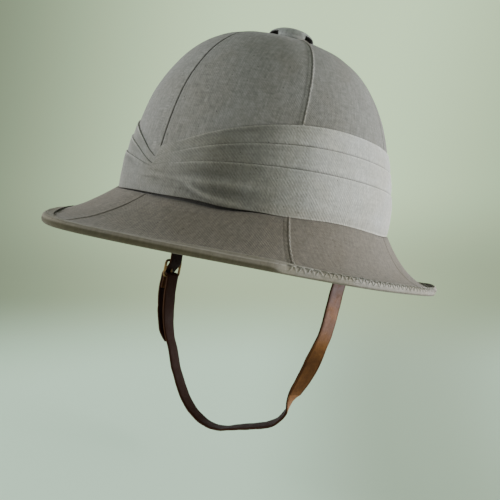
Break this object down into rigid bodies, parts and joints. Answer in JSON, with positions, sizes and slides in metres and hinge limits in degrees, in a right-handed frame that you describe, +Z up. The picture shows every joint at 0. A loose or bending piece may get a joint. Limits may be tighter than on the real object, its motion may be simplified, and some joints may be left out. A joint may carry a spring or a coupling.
{
  "type": "pith helmet",
  "caption": "Khaki pith helmet with a high domed crown, a pleated cloth band crossing at the front, a sloping bound brim, a domed vent cap and a hanging leather chin strap.",
  "frame": {"origin": "middle of the crown's foot, at the level of the lower edge of the cloth band, where a head holds the helmet", "axes": "+Z up, -Y the front of the helmet, +X the wearer's left"},
  "size_m": [0.2624, 0.3614, 0.3204],
  "materials": {
    "khaki_cloth": "worn khaki cotton twill stretched over pith, faded, with dark specks",
    "puggaree_cloth": "folded pale grey khaki cotton, soiled along its folds",
    "strap_leather": "worn brown leather, darker inside, rubbed pale where it bends",
    "dull_brass": "dull tarnished brass"
  },
  "bodies": {
    "root": {"helmet_shell": "khaki_cloth", "brim_binding": "khaki_cloth", "vent_cap": "khaki_cloth", "puggaree_top": "puggaree_cloth", "puggaree_middle": "puggaree_cloth", "puggaree_outer": "puggaree_cloth", "vent_collar": "dull_brass", "strap_buckle": "dull_brass", "strap_stud_left": "dull_brass", "strap_stud_right": "dull_brass", "strap_long": "strap_leather", "strap_short": "strap_leather"}
  },
  "joints": []
}
